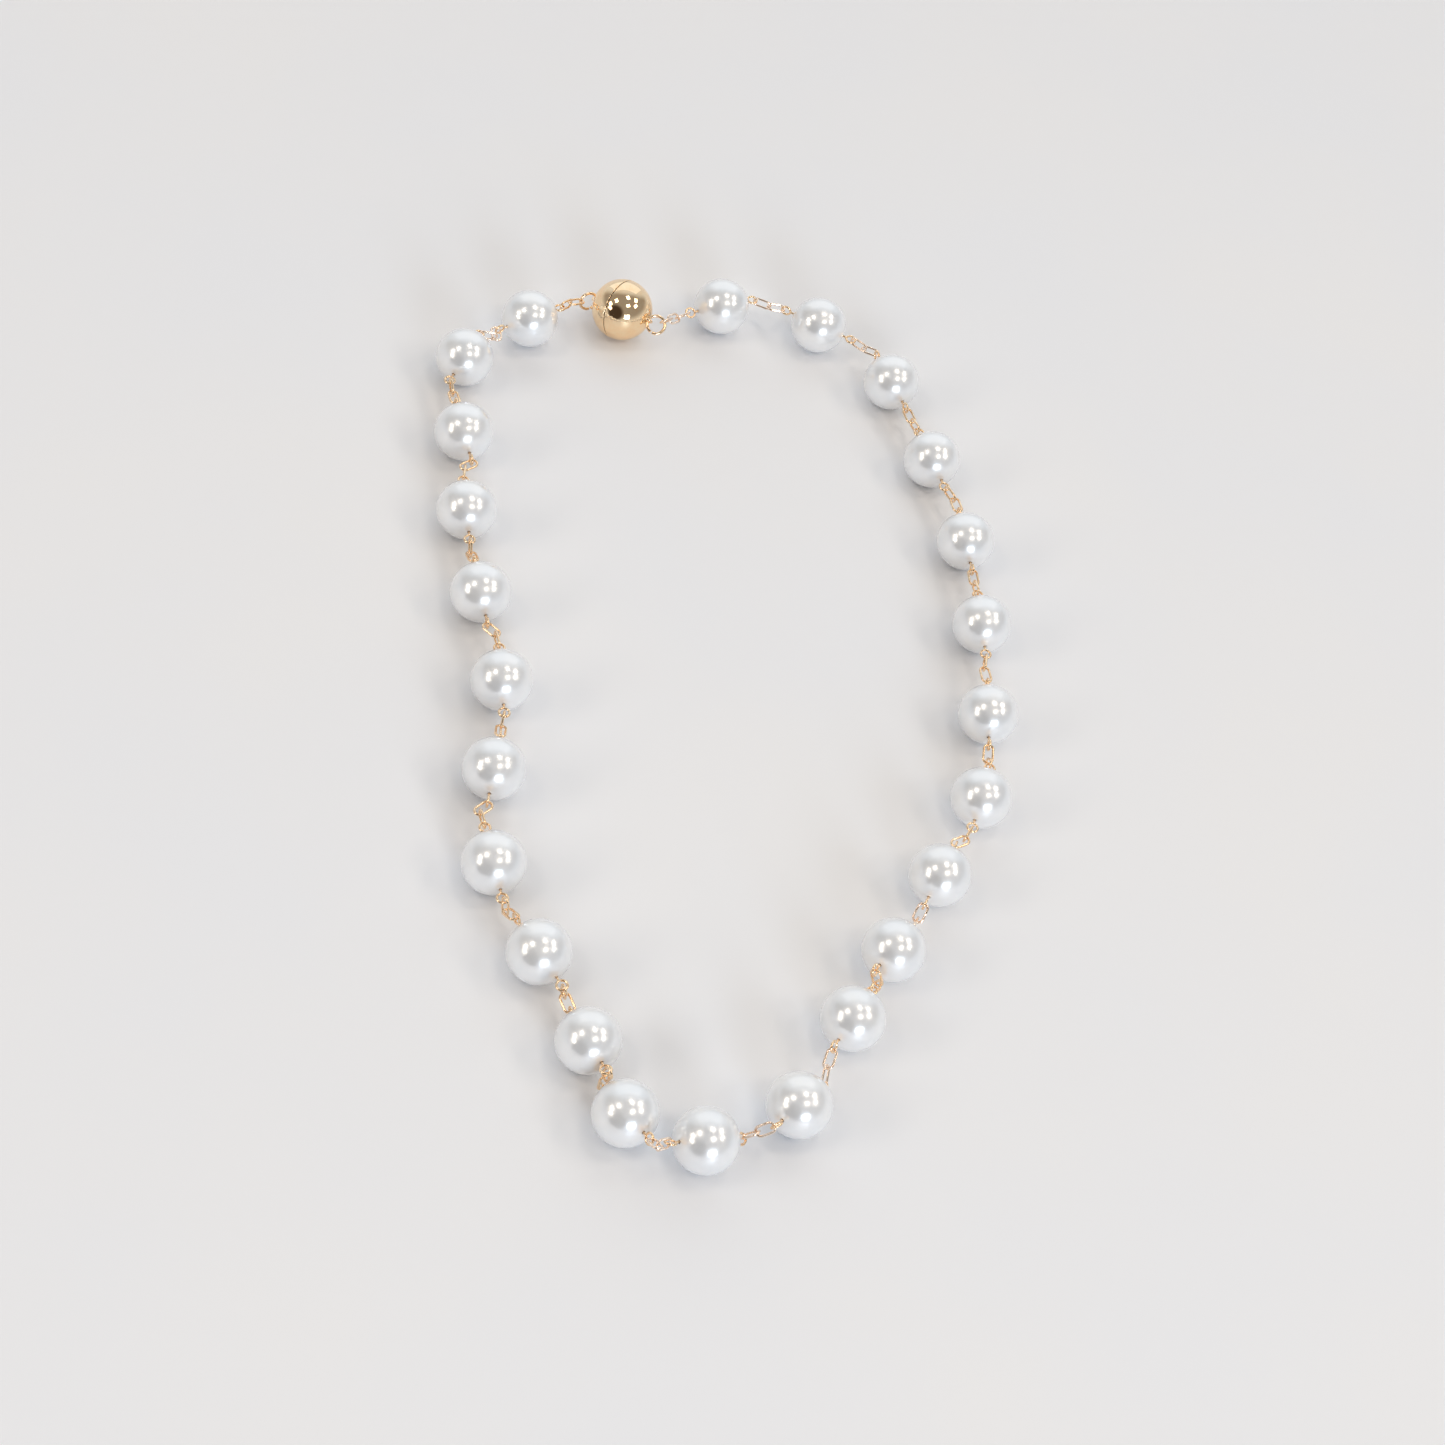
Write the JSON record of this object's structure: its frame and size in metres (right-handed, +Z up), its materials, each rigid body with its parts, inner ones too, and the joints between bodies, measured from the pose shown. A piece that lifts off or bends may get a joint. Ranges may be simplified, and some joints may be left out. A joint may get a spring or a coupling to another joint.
{
  "type": "pearl necklace",
  "caption": "Necklace of round pearls on wire pins joined by short cable-chain links, laid out as a closed loop and fastened by a magnetic ball clasp.",
  "frame": {"origin": "on the table, under the middle of the box round the laid-out necklace", "axes": "+Z up from the table; +Y along the loop's longest extent, from the front pearls towards the clasp; +X to the right of the loop seen from above with the clasp at the top"},
  "size_m": [0.1114, 0.198, 0.012],
  "materials": {
    "pearl": "white pearlescent lacquer, polished",
    "gold": "polished gold plate",
    "magnet": "nickel plate"
  },
  "bodies": {
    "clasp_left": {"clasp_shell_left": "gold", "clasp_face_plate_left": "gold", "clasp_magnet_left": "magnet", "clasp_eye_left": "gold"},
    "ring_left": {"jump_ring_left": "gold"},
    "station_01": {"pin_and_links_01": "gold"},
    "station_02": {"pin_and_links_02": "gold"},
    "station_03": {"pin_and_links_03": "gold"},
    "station_04": {"pin_and_links_04": "gold"},
    "station_05": {"pin_and_links_05": "gold"},
    "station_06": {"pin_and_links_06": "gold"},
    "station_07": {"pin_and_links_07": "gold"},
    "station_08": {"pin_and_links_08": "gold"},
    "station_09": {"pin_and_links_09": "gold"},
    "station_10": {"pin_and_links_10": "gold"},
    "station_11": {"pin_and_links_11": "gold"},
    "station_12": {"pin_and_links_12": "gold"},
    "station_13": {"pin_and_links_13": "gold"},
    "station_14": {"pin_and_links_14": "gold"},
    "station_15": {"pin_and_links_15": "gold"},
    "station_16": {"pin_and_links_16": "gold"},
    "station_17": {"pin_and_links_17": "gold"},
    "station_18": {"pin_and_links_18": "gold"},
    "station_19": {"pin_and_links_19": "gold"},
    "station_20": {"pin_and_links_20": "gold"},
    "station_21": {"pin_and_links_21": "gold"},
    "station_22": {"pin_and_links_22": "gold"},
    "station_23": {"pin_and_links_23": "gold"},
    "station_24": {"pin_and_links_24": "gold"},
    "chain_right": {"end_links_right": "gold", "jump_ring_right": "gold"},
    "clasp_right": {"clasp_shell_right": "gold", "clasp_face_plate_right": "gold", "clasp_magnet_right": "magnet", "clasp_eye_right": "gold"},
    "pearl_01": {"pearl_01": "pearl"},
    "pearl_02": {"pearl_02": "pearl"},
    "pearl_03": {"pearl_03": "pearl"},
    "pearl_04": {"pearl_04": "pearl"},
    "pearl_05": {"pearl_05": "pearl"},
    "pearl_06": {"pearl_06": "pearl"},
    "pearl_07": {"pearl_07": "pearl"},
    "pearl_08": {"pearl_08": "pearl"},
    "pearl_09": {"pearl_09": "pearl"},
    "pearl_10": {"pearl_10": "pearl"},
    "pearl_11": {"pearl_11": "pearl"},
    "pearl_12": {"pearl_12": "pearl"},
    "pearl_13": {"pearl_13": "pearl"},
    "pearl_14": {"pearl_14": "pearl"},
    "pearl_15": {"pearl_15": "pearl"},
    "pearl_16": {"pearl_16": "pearl"},
    "pearl_17": {"pearl_17": "pearl"},
    "pearl_18": {"pearl_18": "pearl"},
    "pearl_19": {"pearl_19": "pearl"},
    "pearl_20": {"pearl_20": "pearl"},
    "pearl_21": {"pearl_21": "pearl"},
    "pearl_22": {"pearl_22": "pearl"},
    "pearl_23": {"pearl_23": "pearl"},
    "pearl_24": {"pearl_24": "pearl"}
  },
  "joints": [
    {"name": "ring_left_swivel", "type": "hinge", "parent": "clasp_left", "child": "ring_left", "pos_m": [-0.00873, 0.09091, 0.006], "axis": [0.6556, -0.703, 0.2756], "range_deg": [-20, 20]},
    {"name": "chain_bend_01", "type": "hinge", "parent": "ring_left", "child": "station_01", "pos_m": [-0.01632, 0.0946, 0.00422], "axis": [0.6556, -0.703, 0.2756], "range_deg": [-8, 8]},
    {"name": "chain_bend_02", "type": "hinge", "parent": "station_01", "child": "station_02", "pos_m": [-0.03481, 0.08421, 0.0055], "axis": [0, 0, -1], "range_deg": [0, 45]},
    {"name": "chain_bend_03", "type": "hinge", "parent": "station_02", "child": "station_03", "pos_m": [-0.04525, 0.06968, 0.0055], "axis": [-0.9962, -0.0868, 0], "range_deg": [-45, 0]},
    {"name": "chain_bend_04", "type": "hinge", "parent": "station_03", "child": "station_04", "pos_m": [-0.04349, 0.04943, 0.0055], "axis": [0, 0, -1], "range_deg": [0, 45]},
    {"name": "chain_bend_05", "type": "hinge", "parent": "station_04", "child": "station_05", "pos_m": [-0.04609, 0.02998, 0.0055], "axis": [-0.9989, -0.0477, 0], "range_deg": [-45, 0]},
    {"name": "chain_bend_06", "type": "hinge", "parent": "station_05", "child": "station_06", "pos_m": [-0.04516, 0.01048, 0.0055], "axis": [0, 0, -1], "range_deg": [0, 45]},
    {"name": "chain_bend_07", "type": "hinge", "parent": "station_06", "child": "station_07", "pos_m": [-0.04483, -0.00943, 0.0055], "axis": [-0.9646, 0.2639, 0], "range_deg": [-45, 0]},
    {"name": "chain_bend_08", "type": "hinge", "parent": "station_07", "child": "station_08", "pos_m": [-0.05001, -0.02833, 0.0055], "axis": [0, 0, -1], "range_deg": [0, 45]},
    {"name": "chain_bend_09", "type": "hinge", "parent": "station_08", "child": "station_09", "pos_m": [-0.04925, -0.04786, 0.0055], "axis": [-0.911, -0.4125, 0], "range_deg": [-45, 0]},
    {"name": "chain_bend_10", "type": "hinge", "parent": "station_09", "child": "station_10", "pos_m": [-0.04164, -0.06499, 0.00548], "axis": [-0.9514, -0.2636, -0.159], "range_deg": [0, 45]},
    {"name": "chain_bend_11", "type": "hinge", "parent": "station_10", "child": "station_11", "pos_m": [-0.03719, -0.08207, 0.008], "axis": [0.9313, 0.3641, -0.0064], "range_deg": [-45, 0]},
    {"name": "chain_bend_12", "type": "hinge", "parent": "station_11", "child": "station_12", "pos_m": [-0.03212, -0.09489, 0.00864], "axis": [-0.173, -0.5897, -0.7889], "range_deg": [0, 45]},
    {"name": "chain_bend_13", "type": "hinge", "parent": "station_12", "child": "station_13", "pos_m": [-0.01523, -0.09161, 0.00294], "axis": [-0.4463, 0.729, 0.519], "range_deg": [-45, 0]},
    {"name": "chain_bend_14", "type": "hinge", "parent": "station_13", "child": "station_14", "pos_m": [-0.00021, -0.08263, 0.00326], "axis": [-0.6965, 0.5304, -0.4832], "range_deg": [0, 45]},
    {"name": "chain_bend_15", "type": "hinge", "parent": "station_14", "child": "station_15", "pos_m": [0.01142, -0.06581, 0.00493], "axis": [0.7121, -0.5304, 0.46], "range_deg": [-45, 0]},
    {"name": "chain_bend_16", "type": "hinge", "parent": "station_15", "child": "station_16", "pos_m": [0.02157, -0.05313, 0.00354], "axis": [0.824, -0.5666, 0], "range_deg": [0, 45]},
    {"name": "chain_bend_17", "type": "hinge", "parent": "station_16", "child": "station_17", "pos_m": [0.03251, -0.03723, 0.0055], "axis": [0, 0, 1], "range_deg": [-45, 0]},
    {"name": "chain_bend_18", "type": "hinge", "parent": "station_17", "child": "station_18", "pos_m": [0.04273, -0.02017, 0.0055], "axis": [0.9786, -0.2055, 0], "range_deg": [0, 45]},
    {"name": "chain_bend_19", "type": "hinge", "parent": "station_18", "child": "station_19", "pos_m": [0.04676, -0.00095, 0.0055], "axis": [0, 0, 1], "range_deg": [-45, 0]},
    {"name": "chain_bend_20", "type": "hinge", "parent": "station_19", "child": "station_20", "pos_m": [0.04973, 0.02025, 0.0055], "axis": [0.9991, -0.0418, 0], "range_deg": [0, 45]},
    {"name": "chain_bend_21", "type": "hinge", "parent": "station_20", "child": "station_21", "pos_m": [0.05059, 0.04074, 0.0055], "axis": [0, 0, -1], "range_deg": [-45, 0]},
    {"name": "chain_bend_22", "type": "hinge", "parent": "station_21", "child": "station_22", "pos_m": [0.0468, 0.06154, 0.0055], "axis": [0.9771, 0.2128, 0], "range_deg": [0, 45]},
    {"name": "chain_bend_23", "type": "hinge", "parent": "station_22", "child": "station_23", "pos_m": [0.04233, 0.08206, 0.0055], "axis": [0, 0, -1], "range_deg": [-45, 0]},
    {"name": "chain_bend_24", "type": "hinge", "parent": "station_23", "child": "station_24", "pos_m": [0.02489, 0.09355, 0.0055], "axis": [0, 0, 1], "range_deg": [0, 45]},
    {"name": "chain_bend_25", "type": "hinge", "parent": "station_24", "child": "chain_right", "pos_m": [0.00457, 0.09091, 0.00543], "axis": [0.4128, -0.7694, -0.4874], "range_deg": [-45, 0]},
    {"name": "clasp_right_swivel", "type": "hinge", "parent": "chain_right", "child": "clasp_right", "pos_m": [-0.00873, 0.09091, 0.006], "axis": [0.6556, -0.703, 0.2756], "range_deg": [-25, 25]},
    {"name": "pearl_spin_01", "type": "hinge", "parent": "station_01", "child": "pearl_01", "pos_m": [-0.02763, 0.08791, 0.0055], "axis": [-0.889, -0.4579, 0], "continuous": true},
    {"name": "pearl_spin_02", "type": "hinge", "parent": "station_02", "child": "pearl_02", "pos_m": [-0.04181, 0.07683, 0.0055], "axis": [-0.4924, -0.8704, 0], "continuous": true},
    {"name": "pearl_spin_03", "type": "hinge", "parent": "station_03", "child": "pearl_03", "pos_m": [-0.04419, 0.05747, 0.0055], "axis": [0.0868, -0.9962, 0], "continuous": true},
    {"name": "pearl_spin_04", "type": "hinge", "parent": "station_04", "child": "pearl_04", "pos_m": [-0.04589, 0.03805, 0.0055], "axis": [-0.0349, -0.9994, 0], "continuous": true},
    {"name": "pearl_spin_05", "type": "hinge", "parent": "station_05", "child": "pearl_05", "pos_m": [-0.04555, 0.01855, 0.0055], "axis": [0.0477, -0.9989, 0], "continuous": true},
    {"name": "pearl_spin_06", "type": "hinge", "parent": "station_06", "child": "pearl_06", "pos_m": [-0.04415, -0.0014, 0.0055], "axis": [-0.061, -0.9981, 0], "continuous": true},
    {"name": "pearl_spin_07", "type": "hinge", "parent": "station_07", "child": "pearl_07", "pos_m": [-0.04787, -0.02054, 0.0055], "axis": [-0.2639, -0.9646, 0], "continuous": true},
    {"name": "pearl_spin_08", "type": "hinge", "parent": "station_08", "child": "pearl_08", "pos_m": [-0.05025, -0.0399, 0.0055], "axis": [0.0872, -0.9962, 0], "continuous": true},
    {"name": "pearl_spin_09", "type": "hinge", "parent": "station_09", "child": "pearl_09", "pos_m": [-0.04484, -0.05759, 0.0055], "axis": [0.4125, -0.911, 0], "continuous": true},
    {"name": "pearl_spin_10", "type": "hinge", "parent": "station_10", "child": "pearl_10", "pos_m": [-0.03898, -0.07461, 0.0055], "axis": [0.2056, -0.9286, 0.309], "continuous": true},
    {"name": "pearl_spin_11", "type": "hinge", "parent": "station_11", "child": "pearl_11", "pos_m": [-0.03489, -0.088, 0.0055], "axis": [0.3398, -0.8627, 0.3746], "continuous": true},
    {"name": "pearl_spin_12", "type": "hinge", "parent": "station_12", "child": "pearl_12", "pos_m": [-0.02256, -0.09349, 0.0055], "axis": [0.9208, 0.1873, -0.342], "continuous": true},
    {"name": "pearl_spin_13", "type": "hinge", "parent": "station_13", "child": "pearl_13", "pos_m": [-0.00601, -0.08779, 0.0055], "axis": [0.7199, 0.637, -0.2756], "continuous": true},
    {"name": "pearl_spin_14", "type": "hinge", "parent": "station_14", "child": "pearl_14", "pos_m": [0.0063, -0.07203, 0.0055], "axis": [0.6345, 0.7697, -0.0698], "continuous": true},
    {"name": "pearl_spin_15", "type": "hinge", "parent": "station_15", "child": "pearl_15", "pos_m": [0.01623, -0.05885, 0.0055], "axis": [0.6752, 0.6968, -0.2419], "continuous": true},
    {"name": "pearl_spin_16", "type": "hinge", "parent": "station_16", "child": "pearl_16", "pos_m": [0.02793, -0.04388, 0.0055], "axis": [0.5666, 0.824, 0], "continuous": true},
    {"name": "pearl_spin_17", "type": "hinge", "parent": "station_17", "child": "pearl_17", "pos_m": [0.0394, -0.0275, 0.0055], "axis": [0.4384, 0.8988, 0], "continuous": true},
    {"name": "pearl_spin_18", "type": "hinge", "parent": "station_18", "child": "pearl_18", "pos_m": [0.0451, -0.00885, 0.0055], "axis": [0.2055, 0.9786, 0], "continuous": true},
    {"name": "pearl_spin_19", "type": "hinge", "parent": "station_19", "child": "pearl_19", "pos_m": [0.04882, 0.01223, 0.0055], "axis": [0.1219, 0.9925, 0], "continuous": true},
    {"name": "pearl_spin_20", "type": "hinge", "parent": "station_20", "child": "pearl_20", "pos_m": [0.05025, 0.03268, 0.0055], "axis": [0.0418, 0.9991, 0], "continuous": true},
    {"name": "pearl_spin_21", "type": "hinge", "parent": "station_21", "child": "pearl_21", "pos_m": [0.04806, 0.05356, 0.0055], "axis": [-0.1478, 0.989, 0], "continuous": true},
    {"name": "pearl_spin_22", "type": "hinge", "parent": "station_22", "child": "pearl_22", "pos_m": [0.04405, 0.07417, 0.0055], "axis": [-0.2128, 0.9771, 0], "continuous": true},
    {"name": "pearl_spin_23", "type": "hinge", "parent": "station_23", "child": "pearl_23", "pos_m": [0.03178, 0.08933, 0.0055], "axis": [-0.8526, 0.5225, 0], "continuous": true},
    {"name": "pearl_spin_24", "type": "hinge", "parent": "station_24", "child": "pearl_24", "pos_m": [0.01221, 0.09349, 0.0055], "axis": [-0.9527, -0.304, 0], "continuous": true}
  ]
}
